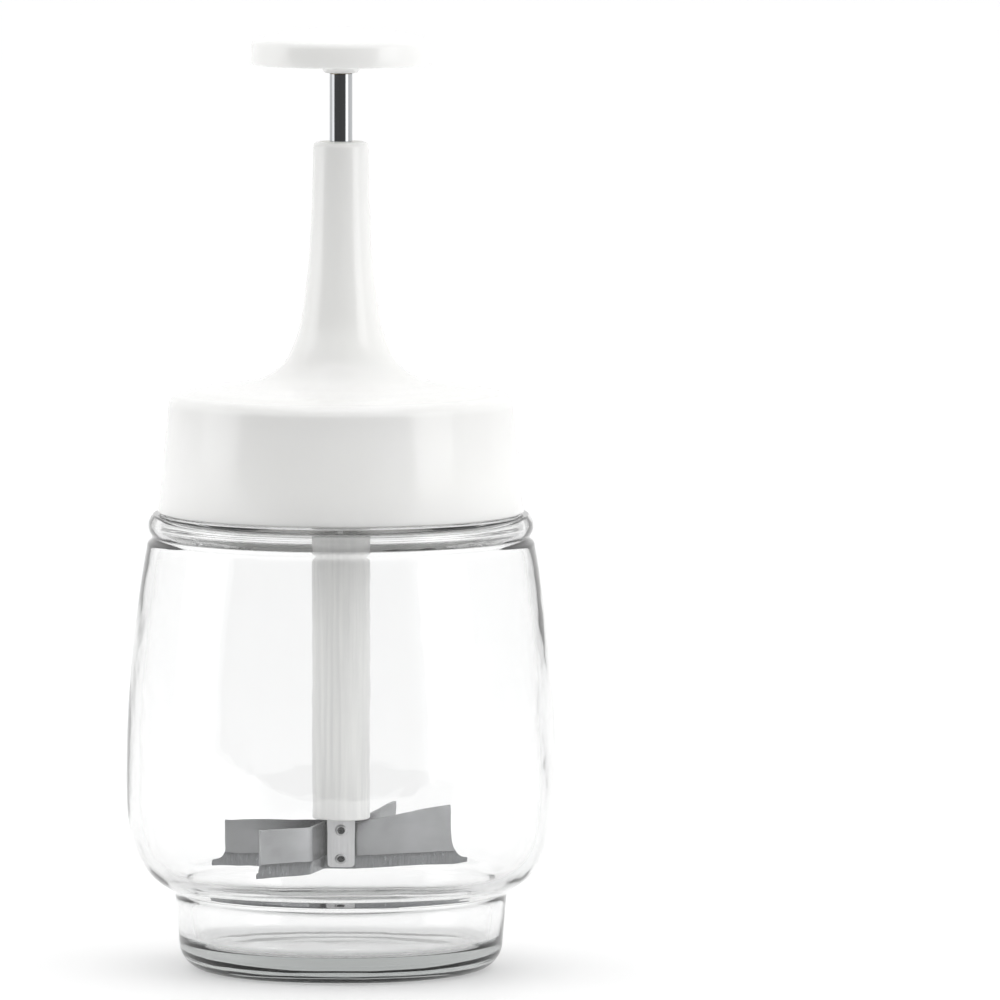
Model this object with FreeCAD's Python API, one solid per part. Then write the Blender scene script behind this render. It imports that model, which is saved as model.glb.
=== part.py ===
"""Plunger food chopper: a glass jar with a screw cap, and a sprung plunger that drives two bent blades.

Millimetres, +Z up. The origin is on the jar's axis, at the height of the surface that the jar stands on.
The pieces are drawn at rest: cap closed, knob up.
"""
import FreeCAD, Part
import math
import os
from FreeCAD import Placement, Rotation, Vector

# --- clearances ---------------------------------------------------------------------------------------
press_gap = 0.02            # between two pieces pressed together
running_gap = 0.05          # between the rod and its bushes
face_gap = 0.05             # between flat faces of pieces that part or turn
loose_gap = 0.3             # between pieces that pass each other freely
thread_gap = 0.45           # between the jar's ridges and the wall that the cap's lugs stand on

# --- how finely things are drawn ----------------------------------------------------------------------
chord_error = 0.25          # straight chords stay this close to the curve that they stand for
shortest_edge = 0.001
cut_margin = 1.0            # cutters reach this far past what they cut

# --- jar ----------------------------------------------------------------------------------------------
body_radius = 47.3          # widest part of the belly
belly_height = 43.0         # height of the widest part
glass_wall = 3.0
floor_height = 6.0          # inside floor
floor_corner = 2.0
foot_radius = 35.7
foot_draft = 0.9            # the foot is this much wider at its top
foot_height = 17.2
foot_corner = 6.0
foot_bore = 32.4
punt_radius = 27.0          # shallow hollow under the base
punt_depth = 1.2
belly_turn = [(0.47, 0.13), (0.80, 0.33), (0.96, 0.60)]    # shares of the step out and up from foot to belly
shoulder_radius = 42.7
shoulder_height = 94.4
bead_radius = 42.4          # ring of glass that the cap's skirt stands over
bead_height = 5.0
bead_groove = 1.1           # depth of the groove under the bead
throat_lean = 2 / 15        # lean of the inside of the shoulder where it turns up to the mouth
finish_radius = 35.2        # threaded collar above the bead
finish_wall = 2.6
finish_height = 22.4
rim_round = 0.9

# --- screw thread -------------------------------------------------------------------------------------
thread_starts = 4
thread_lead = 21.0
thread_depth = 1.3
thread_root = 2.6           # ridge height at its root
thread_crest = 1.4
ridge_span = 76.0           # degrees
lug_span = 32.0             # degrees
thread_drop = 9.6           # centre of the thread below the rim
thread_overlap = 0.6        # each ridge is rooted this deep in its wall

# --- cap ----------------------------------------------------------------------------------------------
skirt_wall = 2.0            # at the skirt's lower edge
skirt_step = 1.35           # the bore is this much wider below the lugs
skirt_crown = 1.05          # the skirt's top edge lies this far outside the wall that the lugs stand on
skirt_mouth_depth = 4.4
skirt_clearance = 0.4       # the skirt above the bead
edge_round = 2.8
roof_thickness = 2.7        # over the seal
cap_wall = 2.4
neck_length = 55.4          # neck top above the cap's top edge
neck_top_radius = 6.16
neck_round = 1.2
neck_bore = 4.3
flare = [(0.74, 32.0), (1.84, 21.4), (2.84, 15.0), (4.29, 10.6), (6.49, 6.6), (11.1, 3.3), (18.0, 1.8), (25.6, 0.8)]
# the flare lists how far the neck has widened at a height above the cap's top edge
gusset_count = 4
gusset_thickness = 1.4
gusset_reach = 10.0
gusset_drop = 6.0
seal_thickness = 1.4
seal_overhang = 0.4         # the seal reaches this far inside the mouth

# --- guide tube and bushes ----------------------------------------------------------------------------
tube_radius = 6.35
tube_wall = 1.35
tube_step = 0.6             # the bore narrows by this above the bush
socket_wall = 2.2
socket_rise = 2.7           # the socket ends this far above the cap's top edge
socket_depth = 15.0
bush_length = 10.0
bush_recess = 9.0           # the lower bush lies this far above the tube's end
neck_bush_length = 7.4
bush_head_radius = 4.7
bush_head_height = 1.1

# --- plunger ------------------------------------------------------------------------------------------
rod_radius = 2.5
stroke = 15.0
blade_floor_gap = 0.3       # between blades and floor at full stroke
stud_radius = 2.0
stud_length = 5.6
groove_depth = 0.6
clip_radius = 3.9
clip_band = 1.0
clip_thickness = 0.7
clip_mouth = 3.4
bumper_radius = 4.0
bumper_thickness = 1.2
washer_thickness = 1.0
washer_radius = 4.0
knob_radius = 19.75
knob_side = 5.6
knob_dome = 2.5
knob_edge_round = 1.3
knob_wall = 2.0
knob_boss_radius = 5.6
knob_collar_top = 4.8
knob_collar_bottom = 3.6
knob_collar_height = 1.9
knob_rib_count = 6
knob_rib_thickness = 1.2
knob_rib_depth = 1.6
insert_radius = 3.4

# --- return spring ------------------------------------------------------------------------------------
wire_radius = 0.45
coil_radius = 3.5
coil_count = 8
wire_sides = 6              # the wire is drawn with flats

# --- blades -------------------------------------------------------------------------------------------
blade_thickness = 0.8
blade_height = 11.3
bevel_height = 2.2
bevel_edge = 0.15           # thickness left at the cutting edge
toe_height = 0.9
toe_bow = (0.25, 0.3)       # middle of the flare's curve, as shares of its length and height
knee_sides = 12
hub_half = 3.4              # half the straight middle of each blade
hub_lead = 0.3              # the knee beside the bracket's edge lies this much further out
bracket_width = 6.0
bracket_thickness = 0.8
bracket_foot = 0.6          # the legs end this far above the cutting edge
bracket_head = 1.1          # room between the blades and the bracket's bridge
spacer_thickness = 3.0
spacer_width = 5.2
spacer_margin = 0.6
stub_radius = 1.5
stub_head_radius = 1.9
stub_head_height = 0.5
end_washer_radius = 2.2
end_washer_thickness = 0.4
rivet_radius = 0.8
rivet_head_radius = 1.3
rivet_head_height = 0.5
rivet_head_face = 1.05      # flat outer face of the head
rivet_dimple = 0.7
rivet_low = 2.8             # above the cutting edge
rivet_high = 9.6

# Each arm: where it ends in plan, how far its toe reaches past the end edge, how high the end edge starts
# above the cutting edge, and how much taller the arm is at its end.
right_arm = dict(tip=(28.6, 8.2), toe=4.8, flare=7.2, rise=2.8)
front_knee = (-6.6, -13.4)
front_arm = dict(tip=(-18.2, -19.4), toe=0.8, flare=3.0, rise=0.0)
left_arm = dict(tip=(-29.0, 2.6), toe=3.2, flare=4.4, rise=0.0)
back_arm = dict(tip=(13.0, 24.4), toe=2.4, flare=5.0, rise=2.0)

# --- worked-out places --------------------------------------------------------------------------------
bead_bottom = shoulder_height + bead_groove
bead_top = bead_bottom + bead_height
rim_height = bead_top + finish_height
mouth_radius = finish_radius - finish_wall
thread_bore = finish_radius + thread_depth + thread_gap
skirt_mouth = thread_bore + skirt_step
skirt_bottom_radius = skirt_mouth + skirt_wall
skirt_top_radius = thread_bore + skirt_crown
land_height = rim_height + seal_thickness + 2 * face_gap
skirt_bottom = bead_top + skirt_clearance
cap_top = land_height + roof_thickness
thread_middle = rim_height - thread_drop

socket_bore = tube_radius + press_gap
tube_bore = tube_radius - tube_wall
guide_bore = tube_bore - tube_step
neck_top = cap_top + neck_length
cutting_edge = floor_height + blade_floor_gap + stroke
blade_top = cutting_edge + blade_height
tube_bottom = blade_top + 2 * loose_gap + face_gap
tube_shelf = cap_top + socket_rise
tube_top = tube_shelf - washer_thickness
tube_bush_bottom = tube_bottom + bush_recess
bush_bore = rod_radius + running_gap

head_seat = neck_top - bush_head_height - face_gap
neck_bush_bottom = neck_top - neck_bush_length
bumper_bottom = neck_bush_bottom - loose_gap - bumper_thickness
clip_bottom = bumper_bottom - face_gap - clip_thickness
washer_bottom = clip_bottom - face_gap - washer_thickness
collar_bottom = neck_top + stroke + 2 * face_gap
knob_bottom = collar_bottom + knob_collar_height
knob_rim = knob_bottom + knob_side
stud_bottom = collar_bottom + face_gap

spacer_half = spacer_thickness / 2
blade_offset = spacer_half + blade_thickness / 2
leg_inside = spacer_half + blade_thickness
leg_outside = leg_inside + bracket_thickness
bridge_bottom = blade_top + bracket_head
bridge_top = bridge_bottom + bracket_thickness
stub_head_top = bridge_bottom - end_washer_thickness


def chords(edge):
    """Points along a curve, spaced so that the straight lines between them stay close to it."""
    return [(p.x, p.z) for p in edge.discretize(Deflection=chord_error)]


def arc(a, middle, b):
    """Arc through three (radius, height) points."""
    points = [Vector(p[0], 0, p[1]) for p in (a, middle, b)]
    return chords(Part.Arc(*points).toShape())


def round_corner(a, corner, b):
    """Quarter round from a to b inside the corner point."""
    bulge = 1 - math.sqrt(0.5)
    middle = [corner[i] + bulge * (a[i] + b[i] - 2 * corner[i]) for i in (0, 1)]
    return arc(a, middle, b)


def dome(edge, rise):
    """Arc of a sphere about the axis, from an edge point up to the axis."""
    swing = (edge[0] ** 2 + rise ** 2) / (2 * rise)
    half_radius = edge[0] / 2
    middle = (half_radius, edge[1] + rise - swing + math.sqrt(swing ** 2 - half_radius ** 2))
    return arc(edge, middle, (0, edge[1] + rise))


def curve(points, start=None, end=None):
    """Smooth curve through (radius, height) points, with the end directions where they matter."""
    spline = Part.BSplineCurve()
    places = [Vector(p[0], 0, p[1]) for p in points]
    if start and end:
        first, last = (Vector(d[0], 0, d[1]) for d in (start, end))
        spline.interpolate(Points=places, InitialTangent=first, FinalTangent=last)
    else:
        spline.interpolate(Points=places)
    return chords(spline.toShape())


def outline(points):
    """Upright face with straight sides round a list of (x, height) points."""
    kept = [p for i, p in enumerate(points) if math.dist(p, points[i - 1]) > shortest_edge]
    corners = [Vector(x, 0, z) for x, z in kept]
    return Part.Face(Part.makePolygon(corners + corners[:1]))


def revolved(points):
    """Solid of revolution about Z of a closed outline of (radius, height) points."""
    return outline(points).revolve(Vector(0, 0, 0), Vector(0, 0, 1), 360)


def extruded(points, depth):
    """Solid of an upright outline, its depth shared evenly on both sides of y = 0."""
    solid = outline(points).extrude(Vector(0, depth, 0))
    solid.translate(Vector(0, -depth / 2, 0))
    return solid


def ring(inside, outside, low, high):
    return revolved([(inside, low), (outside, low), (outside, high), (inside, high)])


def rod(radius, low, high):
    return Part.makeCylinder(radius, high - low, Vector(0, 0, low))


def block(x_low, x_high, y_low, y_high, z_low, z_high):
    size = (x_high - x_low, y_high - y_low, z_high - z_low)
    return Part.makeBox(*size, Vector(x_low, y_low, z_low))


def turned(shape, degrees):
    """Copy of a shape turned about Z."""
    return shape.rotated(Vector(0, 0, 0), Vector(0, 0, 1), degrees)


def around(shape, count):
    """Copies of a shape spaced evenly about Z."""
    return [turned(shape, 360 / count * i) for i in range(count)]


def offset_inward(points, distance):
    """Points of a profile moved square to it, towards the axis."""
    moved = []
    for i, point in enumerate(points):
        before = points[max(i - 1, 0)]
        after = points[min(i + 1, len(points) - 1)]
        along = (after[0] - before[0], after[1] - before[1])
        length = math.hypot(*along)
        moved.append((point[0] - distance * along[1] / length, point[1] + distance * along[0] / length))
    return moved


def helical(profile, radius, low, turn):
    """Solid swept along a helix that starts on the X axis: profile holds (radius, height) points at its start."""
    path = Part.makeHelix(thread_lead, thread_lead * turn / 360, radius)
    path.translate(Vector(0, 0, low))
    places = [Vector(r, 0, low + h) for r, h in profile]
    section = Part.makePolygon(places + places[:1])
    return Part.Wire(path.Edges).makePipeShell([section], True, True)


def polygon(radius, sides):
    """Corners of a regular polygon."""
    turns = [2 * math.pi * i / sides for i in range(sides)]
    return [(radius * math.cos(turn), radius * math.sin(turn)) for turn in turns]


def thread_set(root_radius, crest_radius, middle, span):
    """Like helical pieces, one for each start, centred in their quarters and at the given height."""
    profile = [(root_radius, -thread_root / 2), (crest_radius, -thread_crest / 2),
               (crest_radius, thread_crest / 2), (root_radius, thread_root / 2)]
    low = middle - thread_lead * span / 360 / 2
    piece = helical(profile, min(root_radius, crest_radius), low, span)
    return around(turned(piece, (360 / thread_starts - span) / 2), thread_starts)


def belly_points():
    """Outside of the jar from the foot to the belly."""
    foot = (foot_radius + foot_draft, foot_height)
    step = (body_radius - foot[0], belly_height - foot[1])
    turn = [(foot[0] + r * step[0], foot[1] + h * step[1]) for r, h in belly_turn]
    return [foot] + turn + [(body_radius, belly_height)]


def shoulder_points():
    """Outside of the jar from the belly to the shoulder: one large arc, upright at the belly."""
    rise = shoulder_height - belly_height
    inset = body_radius - shoulder_radius
    swing = (rise ** 2 + inset ** 2) / (2 * inset)
    half = rise / 2
    middle = (body_radius - swing + math.sqrt(swing ** 2 - half ** 2), belly_height + half)
    return [(body_radius, belly_height), middle, (shoulder_radius, shoulder_height)]


def jar_outside():
    """Profile from the rim's outer corner down to the middle of the base."""
    collar_foot = bead_top + loose_gap
    bead_low = (bead_radius - bead_groove, bead_bottom)
    bead_middle = (bead_radius, bead_bottom + bead_height / 2)
    bead_high = (bead_radius - bead_groove, bead_top)
    profile = [(finish_radius, rim_height - rim_round)]
    profile += round_corner((finish_radius, collar_foot + bead_groove), (finish_radius, collar_foot),
                            (finish_radius + bead_groove, collar_foot))
    profile += arc(bead_high, bead_middle, bead_low)
    profile += arc(*shoulder_points())[::-1]
    profile += curve(belly_points(), start=(1, 0.5), end=(0, 1))[::-1]
    profile += round_corner((foot_radius, foot_corner), (foot_radius, 0), (foot_radius - foot_corner, 0))
    return profile + dome((punt_radius, 0), punt_depth)


def jar_inside():
    """Profile from the middle of the floor up to the rim's inner corner."""
    belly = offset_inward(belly_points(), glass_wall)
    belly[0] = (foot_bore + foot_draft, foot_height + glass_wall / 2)
    belly[-1] = (body_radius - glass_wall, belly_height)
    upper = [(r - glass_wall, h) for r, h in shoulder_points()]
    throat = (mouth_radius, bead_top + loose_gap)
    profile = [(0, floor_height)]
    profile += round_corner((foot_bore - floor_corner, floor_height), (foot_bore, floor_height),
                            (foot_bore, floor_height + floor_corner))
    profile += curve(belly, start=(1, 0.6), end=(0, 1)) + arc(*upper)
    profile += curve([upper[-1], throat], start=(-throat_lean, 1), end=(0, 1))
    return profile + [(mouth_radius, rim_height - rim_round)]


def jar_rim():
    """Profile over the rim, from its inner corner to its outer corner."""
    low = rim_height - rim_round
    inner = round_corner((mouth_radius, low), (mouth_radius, rim_height), (mouth_radius + rim_round, rim_height))
    outer = round_corner((finish_radius - rim_round, rim_height), (finish_radius, rim_height),
                         (finish_radius, low))
    return inner + outer


def jar():
    walls = revolved(jar_outside() + jar_inside() + jar_rim())
    return walls.fuse(thread_set(finish_radius - thread_overlap, finish_radius + thread_depth,
                                 thread_middle, ridge_span))


def neck_points():
    """Outside of the neck and its flare, from the top down."""
    points = [(neck_top_radius, neck_top - neck_round)]
    points += [(neck_top_radius + wide, cap_top + high) for wide, high in flare]
    return points + [(skirt_top_radius - edge_round, cap_top)]


def cap_outside():
    """Profile from the top of the neck down to the bottom of the skirt."""
    neck = neck_points()
    crown = (neck_top_radius - neck_round, neck_top)
    edge = (skirt_top_radius, cap_top - edge_round)
    profile = [(bush_head_radius, neck_top)] + round_corner(crown, (neck_top_radius, neck_top), neck[0])
    profile += curve(neck, start=(0, -1), end=(1, -0.2))
    profile += round_corner(neck[-1], (skirt_top_radius, cap_top), edge)
    return profile + [(skirt_bottom_radius, skirt_bottom)]


def cap_inside():
    """Profile from the skirt's bottom up under the shoulder, round the tube's socket and up the neck."""
    land_inside = mouth_radius - seal_overhang
    socket_outside = socket_bore + socket_wall
    socket_bottom = tube_shelf - socket_depth
    mouth_top = skirt_bottom + skirt_mouth_depth
    hollow = [p for p in neck_points() if land_inside - cap_wall > p[0] > socket_outside + cap_wall]
    hollow = offset_inward(hollow[::-1], cap_wall)
    hollow_end = (socket_outside, hollow[-1][1] + cap_wall)
    return [
        (skirt_mouth, skirt_bottom), (skirt_mouth, mouth_top),
        (thread_bore, mouth_top + skirt_mouth - thread_bore), (thread_bore, land_height),
        *curve([(land_inside, land_height)] + hollow + [hollow_end]),
        (socket_outside, socket_bottom), (socket_bore, socket_bottom),
        (socket_bore, tube_shelf), (neck_bore, tube_shelf), (neck_bore, head_seat),
        (bush_head_radius, head_seat)]


def cap_gusset():
    """Web between the tube's socket and the underside of the shoulder."""
    inner = socket_bore + socket_wall / 2
    outer = socket_bore + socket_wall + gusset_reach
    low = land_height - gusset_drop
    web = [(inner, low), (socket_bore + socket_wall + gusset_thickness, low), (outer, land_height),
           (outer, neck_top), (inner, neck_top)]
    filled = revolved(cap_outside() + [(0, skirt_bottom), (0, neck_top)])
    return extruded(web, gusset_thickness).common(filled)


def cap():
    shell = revolved(cap_outside() + cap_inside())
    lugs = thread_set(thread_bore + thread_overlap, thread_bore - thread_depth,
                      thread_middle - thread_lead / thread_starts / 2, lug_span)
    return shell.fuse(lugs + around(cap_gusset(), gusset_count))


def cap_seal():
    return ring(mouth_radius - seal_overhang + loose_gap, thread_bore - loose_gap,
                rim_height + face_gap, land_height - face_gap)


def guide_tube():
    bush_top = tube_bush_bottom + bush_length + face_gap
    return revolved([
        (tube_bore, tube_bottom), (tube_radius, tube_bottom), (tube_radius, tube_top),
        (guide_bore, tube_top), (guide_bore, bush_top), (tube_bore, bush_top)])


def tube_bush():
    return ring(bush_bore, tube_bore - press_gap, tube_bush_bottom, tube_bush_bottom + bush_length)


def neck_bush():
    """Flanged bush let into the top of the neck."""
    head_bottom = head_seat + face_gap
    return revolved([
        (bush_bore, neck_bush_bottom), (neck_bore - press_gap, neck_bush_bottom),
        (neck_bore - press_gap, head_bottom), (bush_head_radius - press_gap, head_bottom),
        (bush_head_radius - press_gap, neck_top), (bush_bore, neck_top)])


def lower_spring_washer():
    return ring(rod_radius + loose_gap, tube_radius, tube_top, tube_shelf)


def upper_spring_washer():
    return ring(rod_radius + running_gap, washer_radius, washer_bottom, washer_bottom + washer_thickness)


def return_spring():
    low = tube_shelf + face_gap + wire_radius
    high = washer_bottom - face_gap - wire_radius
    path = Part.makeHelix((high - low) / coil_count, high - low, coil_radius)
    path.translate(Vector(0, 0, low))
    corners = polygon(wire_radius, wire_sides)
    section = Part.makePolygon([Vector(coil_radius + x, 0, low + y) for x, y in corners + corners[:1]])
    return Part.Wire(path.Edges).makePipeShell([section], True, True)


def plunger_rod():
    """Rod with a stud at the top, a clip groove, and a peened stub at the bottom."""
    body = rod(rod_radius, bridge_top, stud_bottom)
    stud = rod(stud_radius, stud_bottom, stud_bottom + stud_length)
    stub = rod(stub_radius, stub_head_top, bridge_top)
    head = rod(stub_head_radius, stub_head_top - stub_head_height, stub_head_top)
    groove = ring(rod_radius - groove_depth, rod_radius + cut_margin, clip_bottom - face_gap,
                  clip_bottom + clip_thickness + face_gap)
    return body.fuse([stud, stub, head]).cut(groove)


def rod_clip():
    """E-shaped retaining clip: an open band with three prongs that reach into the groove."""
    top = clip_bottom + clip_thickness
    band = ring(clip_radius - clip_band, clip_radius, clip_bottom, top)
    half = clip_mouth / 4
    prong = block(rod_radius - groove_depth + press_gap, clip_radius - clip_band / 2, -half, half,
                  clip_bottom, top)
    mouth = block(0, clip_radius + cut_margin, -clip_mouth / 2, clip_mouth / 2, clip_bottom, top)
    prongs = [turned(prong, degrees) for degrees in (90, 180, 270)]
    return band.cut(mouth).fuse(prongs)


def stop_bumper():
    return ring(rod_radius + press_gap, bumper_radius, bumper_bottom, bumper_bottom + bumper_thickness)


def knob_rib():
    half = knob_rib_thickness / 2
    top = knob_rim - knob_wall + press_gap
    return block(knob_boss_radius - knob_wall / 4, knob_radius - knob_wall / 2, -half, half,
                 top - knob_rib_depth, top)


def knob():
    """Low dome with an upright side, hollow underneath, with a boss and collar round the rod."""
    rim = (knob_radius - knob_edge_round, knob_rim)
    side_top = (knob_radius, knob_rim - knob_edge_round)
    inner_top = knob_rim - knob_wall
    rod_bore = rod_radius + press_gap
    insert_bore = insert_radius + press_gap
    insert_bottom = stud_bottom + face_gap
    insert_top = stud_bottom + stud_length + loose_gap
    profile = dome(rim, knob_dome)[::-1] + round_corner(rim, (knob_radius, knob_rim), side_top)
    profile += [
        (knob_radius, knob_bottom), (knob_radius - knob_wall, knob_bottom),
        (knob_radius - knob_wall, inner_top), (knob_boss_radius, inner_top), (knob_boss_radius, knob_bottom),
        (knob_collar_top, knob_bottom), (knob_collar_bottom, collar_bottom), (rod_bore, collar_bottom),
        (rod_bore, insert_bottom), (insert_bore, insert_bottom), (insert_bore, insert_top), (0, insert_top)]
    return revolved(profile).fuse(around(knob_rib(), knob_rib_count))


def knob_insert():
    """Metal bush moulded into the knob, which the stud screws into."""
    low = stud_bottom + 2 * face_gap
    return ring(stud_radius + press_gap, insert_radius, low, stud_bottom + stud_length)


def arm(start, spec, bevel_side):
    """One flat arm of a blade from a knee to its tip, with a flared toe and a ground lower edge."""
    tip = spec["tip"]
    reach = math.dist(start, tip)
    end = reach - spec["toe"]
    low = cutting_edge
    toe_top = (reach, low + toe_height)
    flare_start = (end, low + spec["flare"])
    bow = (end + toe_bow[0] * spec["toe"], low + toe_height + toe_bow[1] * (spec["flare"] - toe_height))
    side = [(0, low), (reach, low)] + arc(toe_top, bow, flare_start)
    return plate(side + [(end, blade_top + spec["rise"]), (0, blade_top)], start, tip, bevel_side)


def panel(start, end, bevel_side):
    """Plain flat stretch of a blade between two knees."""
    reach = math.dist(start, end)
    corners = [(0, cutting_edge), (reach, cutting_edge), (reach, blade_top), (0, blade_top)]
    return plate(corners, start, end, bevel_side)


def plate(side, start, end, bevel_side):
    """Sheet of the given side outline, ground on one face, set along the line from start to end."""
    sheet = extruded(side, blade_thickness)
    face = bevel_side * blade_thickness / 2
    sharp = face - bevel_side * (blade_thickness - bevel_edge)
    first = -cut_margin
    last = math.dist(start, end) + cut_margin
    ground = [Vector(first, face, cutting_edge + bevel_height), Vector(first, sharp, cutting_edge),
              Vector(first, 2 * face, cutting_edge), Vector(first, 2 * face, cutting_edge + bevel_height)]
    wedge = Part.Face(Part.makePolygon(ground + ground[:1])).extrude(Vector(last - first, 0, 0))
    angle = math.degrees(math.atan2(end[1] - start[1], end[0] - start[0]))
    return sheet.cut(wedge).transformed(
        Placement(Vector(start[0], start[1], 0), Rotation(Vector(0, 0, 1), angle)).toMatrix())


def knee(place):
    """Upright rounded bend between two stretches of a blade, ground to a point like them."""
    levels = [(bevel_edge / 2, cutting_edge), (blade_thickness / 2, cutting_edge + bevel_height),
              (blade_thickness / 2, blade_top)]
    wires = []
    for radius, height in levels:
        corners = polygon(radius, knee_sides)
        wires.append(Part.makePolygon([Vector(place[0] + x, place[1] + y, height)
                                       for x, y in corners + corners[:1]]))
    return Part.makeLoft(wires, True, True)


def rivet_holes():
    """Cutters for the two rivet shanks, through the whole stack."""
    span = 4 * leg_outside
    low = Vector(0, -span / 2, cutting_edge + rivet_low)
    high = Vector(0, -span / 2, cutting_edge + rivet_high)
    return [Part.makeCylinder(rivet_radius + press_gap, span, place, Vector(0, 1, 0)) for place in (low, high)]


def front_blade():
    """Middle in front of the spacer, one arm to the right, and one that comes forward and turns left."""
    left = (-hub_half - hub_lead, -blade_offset)
    right = (hub_half, -blade_offset)
    pieces = [
        panel(left, front_knee, 1),
        arm(front_knee, front_arm, 1),
        arm(right, right_arm, -1),
        knee(left), knee(front_knee), knee(right),
    ]
    return panel(left, right, -1).fuse(pieces).cut(rivet_holes())


def rear_blade():
    """Middle behind the spacer, one arm to the left and one to the back."""
    left = (-hub_half, blade_offset)
    right = (hub_half, blade_offset)
    pieces = [arm(left, left_arm, 1), arm(right, back_arm, -1), knee(left), knee(right)]
    return panel(left, right, -1).fuse(pieces).cut(rivet_holes())


def blade_bracket():
    """Strip bent into an upside-down U over the two blades, with a hole for the rod's stub."""
    low = cutting_edge + bracket_foot
    half = [(leg_inside, bridge_bottom), (leg_inside, low), (leg_outside, low)]
    half += round_corner((leg_outside, bridge_bottom), (leg_outside, bridge_top),
                         (leg_outside - bracket_thickness, bridge_top))
    strip = extruded(half + [(-x, z) for x, z in half[::-1]], bracket_width)
    hole = rod(stub_radius + press_gap, bridge_bottom - cut_margin, bridge_top + cut_margin)
    return turned(strip, 90).cut([hole] + rivet_holes())


def blade_spacer():
    half = spacer_width / 2
    body = block(-half, half, -spacer_half, spacer_half, cutting_edge + spacer_margin,
                 blade_top - spacer_margin)
    return body.cut(rivet_holes())


def rod_end_washer():
    return ring(stub_radius + press_gap, end_washer_radius, stub_head_top, bridge_bottom)


def blade_rivet(height):
    """Shank through the stack with a low head at each end, the front one dimpled."""
    back = Vector(0, 1, 0)
    front_face = -leg_outside - rivet_head_height
    shank = Part.makeCylinder(rivet_radius, 2 * leg_outside, Vector(0, -leg_outside, height), back)
    front_head = Part.makeCone(rivet_head_face, rivet_head_radius, rivet_head_height,
                               Vector(0, front_face, height), back)
    rear_head = Part.makeCone(rivet_head_radius, rivet_head_face, rivet_head_height,
                              Vector(0, leg_outside, height), back)
    dimple = Part.makeCylinder(rivet_dimple, 2 * rivet_head_height, Vector(0, front_face, height), back)
    return shank.fuse([front_head, rear_head]).cut(dimple)


def blade_rivets():
    return Part.makeCompound([blade_rivet(cutting_edge + rivet_low), blade_rivet(cutting_edge + rivet_high)])


NODES = {
    "jar": jar,
    "cap": cap,
    "cap_seal": cap_seal,
    "guide_tube": guide_tube,
    "neck_bush": neck_bush,
    "tube_bush": tube_bush,
    "lower_spring_washer": lower_spring_washer,
    "upper_spring_washer": upper_spring_washer,
    "return_spring": return_spring,
    "plunger_rod": plunger_rod,
    "rod_clip": rod_clip,
    "stop_bumper": stop_bumper,
    "knob": knob,
    "knob_insert": knob_insert,
    "blade_bracket": blade_bracket,
    "blade_spacer": blade_spacer,
    "front_blade": front_blade,
    "rear_blade": rear_blade,
    "rod_end_washer": rod_end_washer,
    "blade_rivets": blade_rivets,
}


def main():
    os.makedirs("parts", exist_ok=True)
    for name, make in NODES.items():
        shape = make()
        print(name, "valid" if shape.isValid() else "NOT VALID", round(shape.Volume, 2))
        shape.exportStep(f"parts/{name}.step")


main()
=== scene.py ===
"""Plunger food chopper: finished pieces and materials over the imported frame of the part.

Every piece is modelled with Blender's own mesh tools in metres, +Z up, where the frame says.
"""
import math
from functools import partial

import bpy
from bpy.props import FloatProperty, IntProperty, PointerProperty, StringProperty
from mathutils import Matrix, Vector
from mathutils.geometry import interpolate_bezier


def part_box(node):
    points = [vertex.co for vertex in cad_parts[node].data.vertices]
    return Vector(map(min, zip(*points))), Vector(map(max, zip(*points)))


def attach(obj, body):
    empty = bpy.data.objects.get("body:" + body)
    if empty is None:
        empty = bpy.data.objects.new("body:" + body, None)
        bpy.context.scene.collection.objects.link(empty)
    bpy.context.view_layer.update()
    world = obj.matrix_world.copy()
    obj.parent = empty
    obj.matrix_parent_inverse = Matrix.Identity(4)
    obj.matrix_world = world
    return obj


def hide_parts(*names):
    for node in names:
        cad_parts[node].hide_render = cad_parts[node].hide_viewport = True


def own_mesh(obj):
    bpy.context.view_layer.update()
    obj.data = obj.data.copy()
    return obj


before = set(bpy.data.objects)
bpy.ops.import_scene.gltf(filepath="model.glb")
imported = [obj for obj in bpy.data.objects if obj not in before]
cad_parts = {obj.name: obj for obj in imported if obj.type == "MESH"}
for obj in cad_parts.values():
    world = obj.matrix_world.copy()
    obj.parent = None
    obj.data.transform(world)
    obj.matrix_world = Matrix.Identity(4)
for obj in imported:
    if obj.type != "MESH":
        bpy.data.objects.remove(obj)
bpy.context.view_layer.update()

bl_info = {
    "name": "Plunger food chopper",
    "version": (1, 0, 0),
    "blender": (4, 5, 0),
    "location": "View3D > Sidebar > Chopper",
    "description": "Builds the finished pieces of a glass jar food chopper",
    "category": "Add Mesh",
}

MM = 0.001
JAR_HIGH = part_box("jar")[1]
CAP_LOW, CAP_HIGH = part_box("cap")
SEAL_LOW, SEAL_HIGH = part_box("cap_seal")
TUBE_LOW, TUBE_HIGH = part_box("guide_tube")
ROD_LOW, ROD_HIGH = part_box("plunger_rod")
KNOB_LOW, KNOB_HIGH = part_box("knob")
INSERT_LOW, INSERT_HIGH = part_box("knob_insert")
NECK_BUSH_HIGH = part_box("neck_bush")[1]
TUBE_BUSH_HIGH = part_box("tube_bush")[1]
WASHER_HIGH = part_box("lower_spring_washer")[1]
SPRING_LOW, SPRING_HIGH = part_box("return_spring")
CLIP_LOW, CLIP_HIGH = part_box("rod_clip")
BRACKET_LOW, BRACKET_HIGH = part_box("blade_bracket")
BLADE_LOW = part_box("front_blade")[0]
SPACER_LOW, SPACER_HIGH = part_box("blade_spacer")
RIVET_LOW, RIVET_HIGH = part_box("blade_rivets")

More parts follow.
